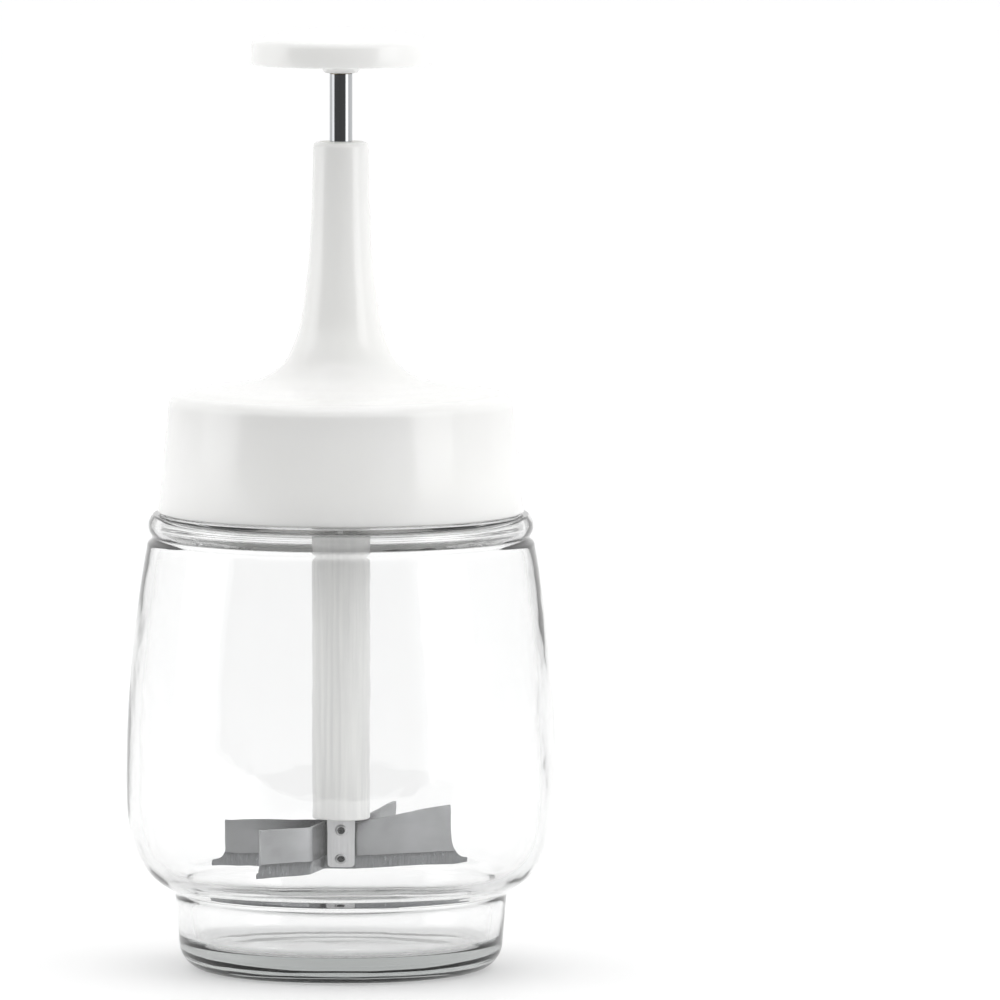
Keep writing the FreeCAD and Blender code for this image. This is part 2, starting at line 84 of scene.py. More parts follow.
PRESS_GAP = 0.02 * MM       # round a piece that is pressed in
FACE_GAP = 0.05 * MM        # between faces that part or turn
THREAD_STARTS = 4
THREAD_LEAD = 21 * MM
THREAD_DROP = 9.6 * MM      # middle of the jar's ridges below its rim
THREAD_ROOT = 0.5 * MM      # ridges and lugs are rooted this deep in their walls
RIDGE_SPAN, LUG_SPAN = math.radians(74), math.radians(30)
STUB_RADIUS = 1.5 * MM      # end of the rod, in the bracket's bridge
RIVET_HEAD, RIVET_SHANK = 1.3 * MM, 0.8 * MM        # radii
RIVET_HEIGHTS = RIVET_LOW.z + RIVET_HEAD, RIVET_HIGH.z - RIVET_HEAD
CAST_CREASE, SHEET_CREASE, WIRE_CREASE = 32, 22, 50     # degrees: edges sharper than this stay crisp


def length(name, description, default):
    return FloatProperty(name=name, description=description, default=default, unit="LENGTH", precision=5)


def count(name, description, default, least):
    return IntProperty(name=name, description=description, default=default, min=least)


def colour(name, description, default):
    return StringProperty(name=name, description=description + ", as an sRGB hex value", default=default)


# --- sizes that a user would change -----------------------------------------------------------------------

class JarSizes(bpy.types.PropertyGroup):
    belly_radius: length("Belly radius", "Widest part of the jar", JAR_HIGH.x)
    belly_height: length("Belly height", "Height of the widest part", 43.0 * MM)
    wall: length("Wall", "Thickness of the pressed glass", 3.0 * MM)
    floor: length("Floor", "Height of the inside floor", 6.0 * MM)
    foot_radius: length("Foot radius", "Outside of the foot at its bottom", 35.7 * MM)
    foot_height: length("Foot height", "Height of the foot's upright side", 17.2 * MM)
    foot_bore: length("Foot bore", "Inside of the foot", 32.4 * MM)
    punt_radius: length("Punt radius", "Shallow hollow under the base", 27.0 * MM)
    shoulder_radius: length("Shoulder radius", "Where the wall meets the ring under the cap", 42.7 * MM)
    shoulder_height: length("Shoulder height", "Height of that meeting", 94.4 * MM)
    ring_radius: length("Ring radius", "Ring of glass under the cap", 42.4 * MM)
    ring_height: length("Ring height", "Thickness of the ring", 5.0 * MM)
    collar_radius: length("Collar radius", "Threaded collar above the ring", 35.2 * MM)
    collar_wall: length("Collar wall", "Thickness of the collar", 2.6 * MM)
    thread_depth: length("Thread depth", "How far the ridges stand out", 1.25 * MM)
    steps: count("Steps", "Facets round the jar", 144, 32)


class CapSizes(bpy.types.PropertyGroup):
    skirt_radius: length("Skirt radius", "Bottom of the skirt", CAP_HIGH.x)
    top_radius: length("Top radius", "Top edge of the skirt", 38.0 * MM)
    top_height: length("Top height", "Height of the cap's top edge", CAP_HIGH.z - 55.4 * MM)
    edge_round: length("Edge round", "Rounding of the top edge", 2.8 * MM)
    neck_radius: length("Neck radius", "Top of the neck", 6.16 * MM)
    wall: length("Wall", "Thickness of the moulding", 2.4 * MM)
    thread_bore: length("Thread bore", "Inside of the skirt between the lugs", 36.95 * MM)
    lug_depth: length("Lug depth", "How far the lugs stand in", 1.25 * MM)
    gussets: count("Gussets", "Webs under the shoulder", 4, 0)
    steps: count("Steps", "Facets round the cap", 144, 32)


class PlungerSizes(bpy.types.PropertyGroup):
    knob_dome: length("Knob dome", "Rise of the knob's top", 2.5 * MM)
    knob_edge: length("Knob edge", "Rounding of the knob's edge", 1.4 * MM)
    knob_wall: length("Knob wall", "Thickness of the knob's moulding", 2.0 * MM)
    rod_radius: length("Rod radius", "Radius of the plated rod", 2.5 * MM)
    knob_ribs: count("Knob ribs", "Ribs under the knob", 6, 0)
    steps: count("Steps", "Facets round the knob", 128, 32)


class BladeSizes(bpy.types.PropertyGroup):
    thickness: length("Thickness", "Thickness of the blade sheet", 0.8 * MM)
    ground_height: length("Ground height", "Height of the hollow-ground edge", 3.5 * MM)
    edge: length("Edge", "Thickness left at the cutting edge", 0.15 * MM)
    bend: length("Bend", "Radius of the bends at the middle of the sheet", 0.9 * MM)
    strip: length("Strip", "Thickness of the bracket's strip", 0.8 * MM)


class SpringSizes(bpy.types.PropertyGroup):
    wire: length("Wire", "Radius of the spring wire", 0.45 * MM)
    coils: count("Coils", "Turns of the return spring", 8, 2)


class Finishes(bpy.types.PropertyGroup):
    glass: colour("Glass", "Tint of the glass", "#FFFFFF")
    plastic: colour("Plastic", "Cap and knob", "#F8F8F6")
    tube: colour("Tube", "Guide tube", "#FCFCFA")
    blade: colour("Blade", "Rolled blade steel", "#A8A9AB")
    ground: colour("Ground edge", "Ground edge of the blades", "#8C8E90")
    bright: colour("Bright steel", "Bracket and rivets", "#F2F2F3")
    chrome: colour("Chrome", "Plated rod", "#BABCBE")


class StageSizes(bpy.types.PropertyGroup):
    distance: length("Distance", "From the camera to the object", 3.0)
    elevation: FloatProperty(name="Elevation", description="Camera angle above the horizon",
                             default=math.radians(5), subtype="ANGLE")
    width: length("View width", "Width of the view at the object", 0.2200)
    aim: length("Aim height", "Height that the camera looks at", 0.1035)
    table: length("Table edge", "How far the table reaches in front of the object", 0.40)
    shift: FloatProperty(name="Shift", description="The object stands left of the middle", default=0.159)


# --- drawing tools ----------------------------------------------------------------------------------------

def clear_selection():
    """Back to object mode with nothing selected."""
    if bpy.context.object and bpy.context.object.mode != "OBJECT":
        bpy.ops.object.mode_set(mode="OBJECT")
    bpy.ops.object.select_all(action="DESELECT")


def choose(piece):
    clear_selection()
    piece.select_set(True)
    bpy.context.view_layer.objects.active = piece


def settle(piece):
    """Leaves a piece's place, turn and size in its mesh."""
    choose(piece)
    bpy.ops.object.transform_apply(location=True, rotation=True, scale=True)
    return piece


def named(name):
    """Names the active object and its mesh, and leaves its place in the mesh."""
    clear_selection()
    piece = bpy.context.object
    if not piece.data.polygons:
        raise RuntimeError(name + " has no faces")
    piece.name = piece.data.name = name
    return settle(piece)


def directions(points):
    """Direction of a profile at each of its points."""
    pairs = zip([points[0], *points[:-1]], [*points[1:], points[-1]])
    return [(Vector(after) - Vector(before)).normalized() for before, after in pairs]


def smooth(points, first=None, last=None, steps=5):
    """Soft curve through (radius, height) points, with both end directions where they matter."""
    ways = directions(points)
    if first:
        ways[0], ways[-1] = Vector(first).normalized(), Vector(last).normalized()
    curve = []
    for i in range(len(points) - 1):
        a, b = Vector(points[i]), Vector(points[i + 1])
        reach = (b - a).length / 3
        knots = interpolate_bezier(a, a + ways[i] * reach, b - ways[i + 1] * reach, b, steps + 1)
        curve += [tuple(k[:2]) for k in knots[:-1]]
    return curve + [tuple(points[-1])]


def corner(a, at, b, steps=4):
    """Round from a to b inside the corner point: a true quarter circle where the corner is square."""
    a, at, b = Vector(a), Vector(at), Vector(b)
    weight = ((a - at).normalized() - (b - at).normalized()).length / 2
    points = []
    for i in range(steps + 1):
        t = i / steps
        shares = ((1 - t) ** 2, 2 * weight * t * (1 - t), t ** 2)
        points.append(tuple((a * shares[0] + at * shares[1] + b * shares[2]) / sum(shares)))
    return points


def eased(at, before, after, steps=4):
    """The same round between two offsets from the corner point."""
    return corner((at[0] + before[0], at[1] + before[1]), at, (at[0] + after[0], at[1] + after[1]), steps)


def bow(peak, low, high, inset, steps):
    """Upright arc of a circle that is widest at peak and inset at the height furthest from it."""
    rise = max(abs(low - peak[1]), abs(high - peak[1]))
    swing = (rise ** 2 + inset ** 2) / (2 * inset)
    heights = [low + (high - low) * i / steps for i in range(steps + 1)]
    return [(peak[0] - swing + math.sqrt(swing ** 2 - (h - peak[1]) ** 2), h) for h in heights]


def dish(radius, edge_height, rise, steps=6):
    """Shallow cap of a sphere, from its edge to the axis."""
    swing = (radius ** 2 + rise ** 2) / (2 * rise)
    reach = [radius * (1 - i / steps) for i in range(steps + 1)]
    return [(r, edge_height + rise - swing + math.sqrt(swing ** 2 - r ** 2)) for r in reach]


def inward(points, distance):
    """Points of a profile moved square to it, to the right of its direction."""
    return [(r + distance * way.y, h - distance * way.x) for (r, h), way in zip(points, directions(points))]


def pull(step):
    """In edit mode: extrudes what is selected."""
    bpy.ops.mesh.extrude_region_move(TRANSFORM_OT_translate={"value": step})


def sweep(steps, rise, turn, centre=(0, 0, 0)):
    """In edit mode: extrudes what is selected round an upright axis, with an even rise."""
    for _ in range(steps):
        pull((0, 0, rise / steps))
        bpy.ops.transform.rotate(value=-turn / steps, orient_axis="Z", center_override=centre)


def drawn(points):
    """One vertex at the first point, extruded on through the others: edit mode stays on."""
    clear_selection()
    bpy.ops.mesh.primitive_plane_add(size=MM, location=points[0])
    bpy.ops.object.mode_set(mode="EDIT")
    bpy.ops.mesh.select_mode(type="VERT")
    bpy.ops.mesh.merge(type="CENTER")
    for before, after in zip(points, points[1:]):
        step = Vector(after) - Vector(before)
        if step.length > 1e-6:
            pull(step)


def filled(outline):
    """A face inside an outline of places: edit mode stays on."""
    drawn(outline)
    bpy.ops.mesh.select_all(action="SELECT")
    bpy.ops.mesh.edge_face_add()


def tidy_shell():
    """In edit mode: merges doubles and turns every face outwards."""
    bpy.ops.mesh.select_all(action="SELECT")
    bpy.ops.mesh.remove_doubles(threshold=1e-6)
    bpy.ops.mesh.normals_make_consistent(inside=False)


def lathe(name, profile, steps):
    """Spins a profile of (radius, height) points round Z. A profile off the axis is closed to a ring."""
    closed = profile if profile[0][0] < 1e-6 else profile + [profile[0]]
    drawn([(r, 0, h) for r, h in closed])
    bpy.ops.mesh.select_all(action="SELECT")
    bpy.ops.mesh.spin(steps=steps, angle=2 * math.pi, center=(0, 0, 0), axis=(0, 0, 1))
    tidy_shell()
    return named(name)


def slab(name, outline, depth, side):
    """Flat outline of places, filled and pulled along side by depth."""
    filled(outline)
    pull(Vector(side) * depth)
    tidy_shell()
    return named(name)


def turned_copy(piece, turn):
    """Copy of a piece with its own mesh, turned about Z."""
    choose(piece)
    bpy.ops.object.duplicate(linked=False)
    twin = bpy.context.object
    twin.rotation_euler.z = turn
    return settle(twin)


def ring_of(piece, number):
    """A number of copies of a piece round Z, in place of the piece itself."""
    made = [turned_copy(piece, 2 * math.pi * i / number) for i in range(number)]
    bpy.data.objects.remove(piece)
    return made


def combine(base, others, operation="UNION"):
    """Joins others into base, or cuts them out of it, with a Boolean modifier each."""
    for other in others:
        choose(base)
        bpy.ops.object.modifier_add(type="BOOLEAN")
        modifier = base.modifiers[-1]
        modifier.operation = operation
        modifier.solver = "EXACT"
        modifier.object = other
        bpy.ops.object.modifier_apply(modifier=modifier.name)
        bpy.data.objects.remove(other)


def thread_bars(name, root, crest, middle, span, steps):
    """Bars swept along the closure's helix, one for each start, from a four-sided section."""
    half_root, half_crest = 1.25 * MM, 0.65 * MM
    rise = THREAD_LEAD * span / (2 * math.pi)
    low = middle - rise / 2
    filled([(root, 0, low - half_root), (crest, 0, low - half_crest),
            (crest, 0, low + half_crest), (root, 0, low + half_root)])
    sweep(steps, rise, span)
    tidy_shell()
    bar = named(name)
    bar.rotation_euler.z = math.radians(45) - span / 2
    return ring_of(settle(bar), THREAD_STARTS)


def finish_piece(piece, body, slot, nodes, *finishes, crisp=CAST_CREASE):
    """Shades a piece, gives it its materials and its body, and hides the CAD nodes that it stands for."""
    choose(piece)
    bpy.ops.object.shade_smooth_by_angle(angle=math.radians(crisp))
    for finish in finishes:
        piece.data.materials.append(finish_for(finish))
    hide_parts(*nodes)
    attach(piece, body)


def paint_faces(piece, slot, wanted):
    """Gives the faces that wanted(centre, normal) names another of the piece's materials."""
    for polygon in piece.data.polygons:
        if wanted(polygon.center, polygon.normal):
            polygon.material_index = slot


def bent_strip(name, section, path, bend):
    """Sweeps an upright section along a level path, with a round bend at each corner of the path.
    Section points lie (right of the path, height) from it."""
    places = [Vector((x, y, 0)) for x, y in path]
    steps = [b - a for a, b in zip(places, places[1:])]
    ways = [step.normalized() for step in steps]
    turns = [a.to_2d().angle_signed(b.to_2d()) for a, b in zip(ways, ways[1:])]
    trims = [0.0] + [bend * math.tan(abs(turn) / 2) for turn in turns] + [0.0]
    right = ways[0].cross(Vector((0, 0, 1)))
    ring = [places[0] + right * depth + Vector((0, 0, height)) for depth, height in section]
    filled(ring)
    for i, way in enumerate(ways):
        pull(way * (steps[i].length - trims[i] - trims[i + 1]))
        if i < len(turns):
            side = way.cross(Vector((0, 0, 1))) * math.copysign(bend, turns[i])
            centre = places[i + 1] - way * trims[i + 1] + side
            facets = max(3, math.ceil(abs(turns[i]) / math.radians(9)))
            sweep(facets, 0, -turns[i], centre)
    tidy_shell()
    return named(name)


def select_parts(piece, kind, wanted):
    """Goes to edit mode with only the vertices or edges selected that wanted() names by their ends."""
    choose(piece)
    bpy.ops.object.mode_set(mode="EDIT")
    bpy.ops.mesh.select_mode(type=kind)
    bpy.ops.mesh.select_all(action="DESELECT")
    bpy.ops.object.mode_set(mode="OBJECT")
    corners = piece.data.vertices
    for part in corners if kind == "VERT" else piece.data.edges:
        part.select = wanted(*([part.co] if kind == "VERT" else [corners[i].co for i in part.vertices]))
    bpy.ops.object.mode_set(mode="EDIT")


def soften_edges(piece, radius, segments, wanted):
    """Rounds the edges whose two ends wanted() names."""
    select_parts(piece, "EDGE", wanted)
    bpy.ops.mesh.bevel(offset=radius, segments=segments, affect="EDGES")
    bpy.ops.object.mode_set(mode="OBJECT")


def raise_end(piece, arm, knee, low, top):
    """Lifts the top corners at an arm's end, so that the arm grows taller towards it."""
    tip = Vector(arm["tip"])
    reach = (tip - Vector(knee)).length
    if arm["rise"] > 0:
        middle, near = (low + top) / 2, 1 * MM
        select_parts(piece, "VERT", lambda place: place.z > middle and (place.to_2d() - tip).length < near)
        bpy.ops.transform.translate(value=(0, 0, arm["rise"] * reach / (reach - arm["toe"])))
        bpy.ops.object.mode_set(mode="OBJECT")


def toe_waste(arm, knee, low, top, half):
    """What is cut away at an arm's end to leave its toe."""
    start, tip = Vector(knee), Vector(arm["tip"])
    way = (tip - start).normalized()
    reach = (tip - start).length
    end, past = reach - arm["toe"], reach + 1 * MM
    nose, over = low + 1.5 * MM, top + arm["rise"] + 2 * MM
    flare = low + arm["flare"]
    tail = eased((reach, nose), (-0.5 * MM, 0), (0, -0.6 * MM))
    curve = smooth([(end, flare), (end + 0.25 * arm["toe"], nose + 0.3 * (flare - nose)), tail[0]],
                   (0.1, -1), (1, -0.12), 6)
    side = [(end, over)] + curve + tail[1:] + [(past, tail[-1][1]), (past, over)]
    out = Vector((way.y, -way.x))
    places = [start + way * along - out * 3 * half for along, _ in side]
    outline = [(place.x, place.y, height) for place, (_, height) in zip(places, side)]
    return slab("toe_waste", outline, 6 * half, (out.x, out.y, 0))


def pin(name, radius, middle, turn, reach):
    """Round cutter for a hole."""
    clear_selection()
    bpy.ops.mesh.primitive_cylinder_add(
        vertices=32, radius=radius, depth=reach, location=middle, rotation=turn)
    return named(name)


def rivet_cutters():
    """Cutters for the two rivet holes, through the whole stack."""
    return [pin("rivet_hole", RIVET_SHANK + PRESS_GAP, (0, 0, height), (math.pi / 2, 0, 0), 12 * MM)
            for height in RIVET_HEIGHTS]


# --- materials --------------------------------------------------------------------------------------------

GREY_SPREAD = {"From_Min": 0.3, "From_Max": 0.7}       # where nearly all values of a noise texture lie
RGBA = {"data_type": "RGBA"}
SOFT_STEP = {"interpolation_type": "SMOOTHSTEP"}


def linear(text):
    """Linear colour of an sRGB hex value."""
    shares = [int(text[i:i + 2], 16) / 255 for i in (1, 3, 5)]
    return [s / 12.92 if s <= 0.04045 else ((s + 0.055) / 1.055) ** 2.4 for s in shares] + [1.0]


def shade(text, share):
    """A hex colour made darker or lighter by a share of its values."""
    parts = [min(255, max(0, round(int(text[i:i + 2], 16) * share))) for i in (1, 3, 5)]
    return "#%02X%02X%02X" % tuple(parts)


def node(tree, kind, out=0, settings=None, **inputs):
    """Adds a node with its settings and links, and gives back one of its outputs."""
    made = tree.nodes.new("ShaderNode" + kind)
    for name, value in (settings or {}).items():
        setattr(made, name, value)
    for name, value in inputs.items():
        socket = made.inputs[int(name[1:]) if name[1:].isdigit() else name.replace("_", " ")]
        if isinstance(value, bpy.types.NodeSocket):
            tree.links.new(value, socket)
        else:
            socket.default_value = value
    return made.outputs[out] if made.outputs else None


def material(name):
    """An empty material, a function that adds its nodes, and its Object coordinates."""
    made = bpy.data.materials.new(name)
    made.use_nodes = True
    made.node_tree.nodes.clear()
    add = partial(node, made.node_tree)
    return made, add, add("TexCoord", "Object")


def mottled(add, noise, text, share):
    """A colour that a noise texture darkens here and there, to a share of its values."""
    patch = add("MapRange", Value=noise, **GREY_SPREAD)
    return add("Mix", 2, RGBA, _0=patch, _6=linear(text), _7=linear(shade(text, share)))


def pressed_glass(text):
    """Clear soda-lime glass, pressed in a mould: slow waves in the wall and a smooth fire-polished skin."""
    made, add, place = material("PressedSodaLimeGlass")
    upright = add("Mapping", Vector=place, Scale=(1, 1, 0.45))
    waves = add("TexNoise", Vector=upright, Scale=1 / (22 * MM), Detail=1.0)
    ripple = add("TexNoise", Vector=place, Scale=1 / (7 * MM), Detail=1.0)
    wall = add("Bump", Height=waves, Distance=0.35 * MM)
    skin = add("Bump", Height=ripple, Distance=0.04 * MM, Normal=wall)
    glass = add("BsdfPrincipled", Base_Color=linear(text), Roughness=0.0, IOR=1.52, Transmission_Weight=1.0,
                Normal=skin)
    lit = add("BsdfTransparent", Color=linear(shade(text, 0.96)))
    lamp = add("LightPath", "Is Shadow Ray")
    both = add("MixShader", _0=lamp, _1=glass, _2=lit)
    depth = add("VolumeAbsorption", Color=linear("#BFC2C1"), Density=27.0)
    add("OutputMaterial", Surface=both, Volume=depth)
    return made


def moulded_gloss(text):
    """Injection-moulded polystyrene: high gloss with faint flow waves and hairline handling marks."""
    made, add, place = material("InjectionMouldedPolystyrene")
    upright = add("Mapping", Vector=place, Scale=(1, 1, 0.6))
    flow = add("TexNoise", Vector=upright, Scale=1 / (30 * MM), Detail=2.0)
    marks = add("TexNoise", Vector=place, Scale=1 / (0.8 * MM), Detail=3.0)
    base = mottled(add, flow, text, 0.975)
    rough = add("MapRange", Value=marks, To_Min=0.10, To_Max=0.19, **GREY_SPREAD)
    skin = add("Bump", Height=flow, Distance=0.10 * MM)
    coat = add("BsdfPrincipled", Base_Color=base, Roughness=rough, IOR=1.59, Normal=skin,
               Subsurface_Weight=0.5, Subsurface_Radius=(1, 1, 1), Subsurface_Scale=3 * MM)
    add("OutputMaterial", Surface=coat)
    return made


def grained(name, text, stretch, grain, detail, dark, rough, relief, **body):
    """Even skin with the fine lines or grain that drawing, rolling, grinding or moulding leaves. They are
    drawn coarser than real ones, which would be too fine to show."""
    made, add, place = material(name)
    along = add("Mapping", Vector=place, Scale=stretch)
    lines = add("TexNoise", Vector=along, Scale=1 / grain, Detail=detail)
    base = mottled(add, lines, text, dark)
    lustre = add("MapRange", Value=lines, To_Min=rough[0], To_Max=rough[1], **GREY_SPREAD)
    skin = add("Bump", Height=lines, Distance=relief)
    coat = add("BsdfPrincipled", Base_Color=base, Roughness=lustre, Normal=skin, **body)
    add("OutputMaterial", Surface=coat)
    return made


def rolled_steel(text):
    """Cold-rolled stainless sheet: matt grey, with dull water marks and with rolling lines along the strip,
    drawn coarse enough to show. Painted shade darkens its corners, most of all the fold by the bracket."""
    made, add, place = material("ColdRolledStainlessSheet")
    level = add("Mapping", Vector=place, Scale=(0.06, 0.06, 1.0))
    lines = add("TexNoise", Vector=level, Scale=1 / (0.7 * MM), Detail=4.0)
    marks = add("TexNoise", Vector=place, Scale=1 / (9 * MM), Detail=3.0)
    base = mottled(add, marks, text, 0.88)
    streak = add("MapRange", Value=lines, To_Min=0.30, To_Max=0.42, **GREY_SPREAD)
    dull = add("MapRange", Value=marks, To_Min=-0.03, To_Max=0.06, **GREY_SPREAD)
    rough = add("Math", 0, {"operation": "ADD"}, _0=streak, _1=dull)
    skin = add("Bump", Height=lines, Distance=0.012 * MM)
    # painted shade: ambient occlusion darkens the sheet's colour in corners and recesses, where shade falls
    nook = add("AmbientOcclusion", "AO", {"samples": 8}, Distance=12 * MM)
    painted_corner_shade = add("MapRange", Value=nook, From_Min=0.62, From_Max=0.97, To_Min=0.10, To_Max=1.0)
    corner_shaded_base = add("Mix", 2, {**RGBA, "blend_type": "MULTIPLY"}, _0=1.0, _6=base, _7=painted_corner_shade)
    # painted shade: the front blade's fold beside the bracket's strip is darkened to a near-black colour,
    # placed by Object coordinates
    across = add("SeparateXYZ", "X", Vector=place)
    forward = add("SeparateXYZ", "Y", Vector=place)
    leg = add("MapRange", Value=across, From_Min=-7.2 * MM, From_Max=-4.6 * MM)
    ahead = add("MapRange", Value=forward, From_Min=-0.2 * MM, From_Max=-0.8 * MM)
    left = add("MapRange", Value=across, From_Min=0.5 * MM, From_Max=-0.5 * MM)
    fold = add("Math", 0, {"operation": "MULTIPLY"}, _0=leg, _1=ahead)
    fold_painted_shade = add("Math", 0, {"operation": "MULTIPLY"}, _0=fold, _1=left)
    painted_shade_colour = add("Mix", 2, RGBA, _0=fold_painted_shade, _6=corner_shaded_base, _7=linear(shade(text, 0.30)))
    sheet = add("BsdfPrincipled", Base_Color=painted_shade_colour, Metallic=1.0, Roughness=rough, Normal=skin)
    add("OutputMaterial", Surface=sheet)
    return made


def turned_metal(name, text, rough):
    """Small turned or pressed metal piece: concentric tool marks, drawn coarse enough to show, and a slightly
    uneven lustre."""
    made, add, place = material(name)
    marks = add("TexWave", 1, {"wave_type": "RINGS", "rings_direction": "Z"}, Vector=place,
                Scale=1 / (1.2 * MM), Distortion=0.6, Detail=1.0)
    blotch = add("TexNoise", Vector=place, Scale=1 / (2.5 * MM), Detail=2.0)
    base = mottled(add, blotch, text, 0.86)
    lustre = add("MapRange", Value=blotch, To_Min=rough, To_Max=rough + 0.12, **GREY_SPREAD)
    skin = add("Bump", Height=marks, Distance=0.01 * MM)
    metal = add("BsdfPrincipled", Base_Color=base, Metallic=1.0, Roughness=lustre, Normal=skin)
    add("OutputMaterial", Surface=metal)
    return made


def pale_floor():
    """White acrylic sheet of a light table: soft, faintly lit from below and almost without marks."""
    made, add, place = material("LitWhiteAcrylicSheet")
    marks = add("TexNoise", Vector=place, Scale=1 / (180 * MM), Detail=2.0)
    base = add("Mix", 2, RGBA, _0=marks, _6=linear("#FFFFFF"), _7=linear("#FCFCFC"))
    sheet = add("BsdfPrincipled", Base_Color=base, Roughness=0.6, Specular_IOR_Level=0.1,
                Emission_Color=linear("#FFFFFF"), Emission_Strength=0.04)
    add("OutputMaterial", Surface=sheet)
    return made


FINISHES = {}       # materials made so far, by the name that the pieces ask for


def finish_for(name):
    """The material of that name, made on its first use."""
    settings = bpy.context.scene.chopper_finishes
    makers = {
        "glass": lambda: pressed_glass(settings.glass),
        "gloss": lambda: moulded_gloss(settings.plastic),
        # extruded polypropylene: satin, with faint draw lines along the tube
        "tube": lambda: grained("ExtrudedPolypropylene", settings.tube, (1, 1, 0.03), 0.9 * MM, 2.0, 0.95,
                                (0.28, 0.42), 0.02 * MM, IOR=1.49),
        # chrome plate on a drawn rod: nearly a mirror, with hairlines along it from sliding
        "chrome": lambda: grained("BrightChromePlate", settings.chrome, (1, 1, 0.02), 0.5 * MM, 3.0, 0.93,
                                  (0.04, 0.13), 0.004 * MM, Metallic=1.0),
        "blade": lambda: rolled_steel(settings.blade),
        # ground edge of the same sheet: a band with wheel marks across it, duller than the rolled face
        "ground": lambda: grained("WheelGroundStainlessEdge", settings.ground, (1, 1, 0.08), 0.45 * MM, 2.0,
                                  0.84, (0.26, 0.40), 0.008 * MM, Metallic=1.0),
        # bright-rolled steel strip: a soft lustre, with rolling lines up the legs
        "bright": lambda: grained("BrightRolledSteelStrip", settings.bright, (1, 1, 0.05), 0.4 * MM, 3.0,
                                  0.96, (0.42, 0.50), 0.004 * MM, Metallic=1.0),
        "rivet": lambda: turned_metal("UpsetSteelRivet", shade(settings.bright, 0.92), 0.28),
        # painted shade: a near-black colour for the dimples in the rivet heads, where shade falls
        "hollow": lambda: turned_metal("RivetHollowPaintedShade", "#343436", 0.5),
        "washer": lambda: turned_metal("ZincPlatedPressedWasher", "#B9BBBA", 0.28),
        "wire": lambda: turned_metal("DrawnSpringSteelWire", "#9A9C9E", 0.24),
        "clip": lambda: turned_metal("BlackenedSpringSteelClip", "#6F7072", 0.32),
        "brass": lambda: turned_metal("TurnedBrass", "#D8B46A", 0.2),
        # soft and engineering plastics with a fine matt skin
        "bush": lambda: grained("MouldedAcetal", "#ECEBE6", (1, 1, 1), 0.6 * MM, 3.0, 0.9,
                                (0.35, 0.47), 0.02 * MM, IOR=1.48),
        "seal": lambda: grained("MouldedSiliconeRubber", "#DAD9D4", (1, 1, 1), 1.1 * MM, 3.0, 0.9,
                                (0.55, 0.67), 0.02 * MM, IOR=1.41),
        "bumper": lambda: grained("NitrileRubber", "#26272A", (1, 1, 1), 0.5 * MM, 3.0, 0.9,
                                  (0.60, 0.72), 0.02 * MM, IOR=1.52),
    }
    if name not in FINISHES:
        FINISHES[name] = makers[name]()
    return FINISHES[name]


# --- profiles ---------------------------------------------------------------------------------------------

FOOT_DRAFT = 0.9 * MM       # the foot is this much wider at its top
NECK_ROUND = 1.2 * MM       # rounding of the neck's top edge


def belly_points(jar):
    """Outside of the jar from the top of its foot to the belly."""
    foot = (jar.foot_radius + FOOT_DRAFT, jar.foot_height)
    out, up = jar.belly_radius - foot[0], jar.belly_height - foot[1]
    turn = [(foot[0] + r * out, foot[1] + h * up) for r, h in ((0.47, 0.13), (0.80, 0.33), (0.96, 0.60))]
    return [foot] + turn + [(jar.belly_radius, jar.belly_height)]


def jar_profile(jar):
    """Closed profile from the middle of the base, up the outside, over the rim and down to the floor."""
    belly, shoulder = (jar.belly_radius, jar.belly_height), (jar.shoulder_radius, jar.shoulder_height)
    inset = belly[0] - shoulder[0]
    groove = 1.1 * MM
    ring_low = shoulder[1] + groove
    ring_high = ring_low + jar.ring_height
    ring_in = jar.ring_radius - groove
    collar, mouth, rim = jar.collar_radius, jar.collar_radius - jar.collar_wall, JAR_HIGH.z
    foot = belly_points(jar)
    junction, foot_round, foot_corner = foot[0], 0.9 * MM, 6 * MM

    base = dish(jar.punt_radius, 0, 1.2 * MM)[::-1]
    base += eased((jar.foot_radius, 0), (-foot_corner, 0), (0, foot_corner), 8)

    rise = smooth(foot, (1, 0.5), (0, 1), 7)
    outside = corner((junction[0] - 0.05 * MM, junction[1] - foot_round), junction, rise[3], 5) + rise[4:]
    side = bow(belly, belly[1], shoulder[1] - 0.8 * MM, inset, 14)[1:]
    ring = bow((jar.ring_radius, (ring_low + ring_high) / 2), ring_low + 0.4 * MM, ring_high, groove, 10)
    outside += side + corner(side[-1], shoulder, (shoulder[0] - 0.7 * MM, shoulder[1] + 0.4 * MM))[1:]
    outside += corner(outside[-1], (ring_in - 0.1 * MM, ring_low - 0.1 * MM), ring[0])[1:] + ring[1:]
    outside += eased((collar, ring_high + 0.3 * MM), (1.1 * MM, 0), (0, 1.1 * MM))

    soft = 0.9 * MM
    over = eased((collar, rim), (0, -soft), (-soft, 0)) + eased((mouth, rim), (soft, 0), (0, -soft))

    upper = bow((belly[0] - jar.wall, belly[1]), belly[1], shoulder[1], inset, 14)
    throat, ledge = upper[-1][0], ring_high - 1.5 * MM
    inside = eased((mouth, ledge), (0, 1.2 * MM), (1.2 * MM, 0))
    inside += eased((throat, ledge), (-1 * MM, 0), (0, -1 * MM)) + upper[::-1]
    lower = inward(foot[::-1], jar.wall)[::-1]
    lower[0] = (jar.foot_bore + FOOT_DRAFT, jar.foot_height + jar.wall / 2)
    lower[-1] = upper[0]
    slope = smooth(lower, (1, 0.6), (0, 1), 7)
    inside += slope[:5:-1][1:] + corner(slope[5], slope[0], (slope[0][0] - 0.3 * MM, slope[0][1] - 4 * MM), 8)
    inside += eased((jar.foot_bore, jar.floor), (0, 2 * MM), (-2 * MM, 0))
    return base + outside + over + inside + [(0, jar.floor)]


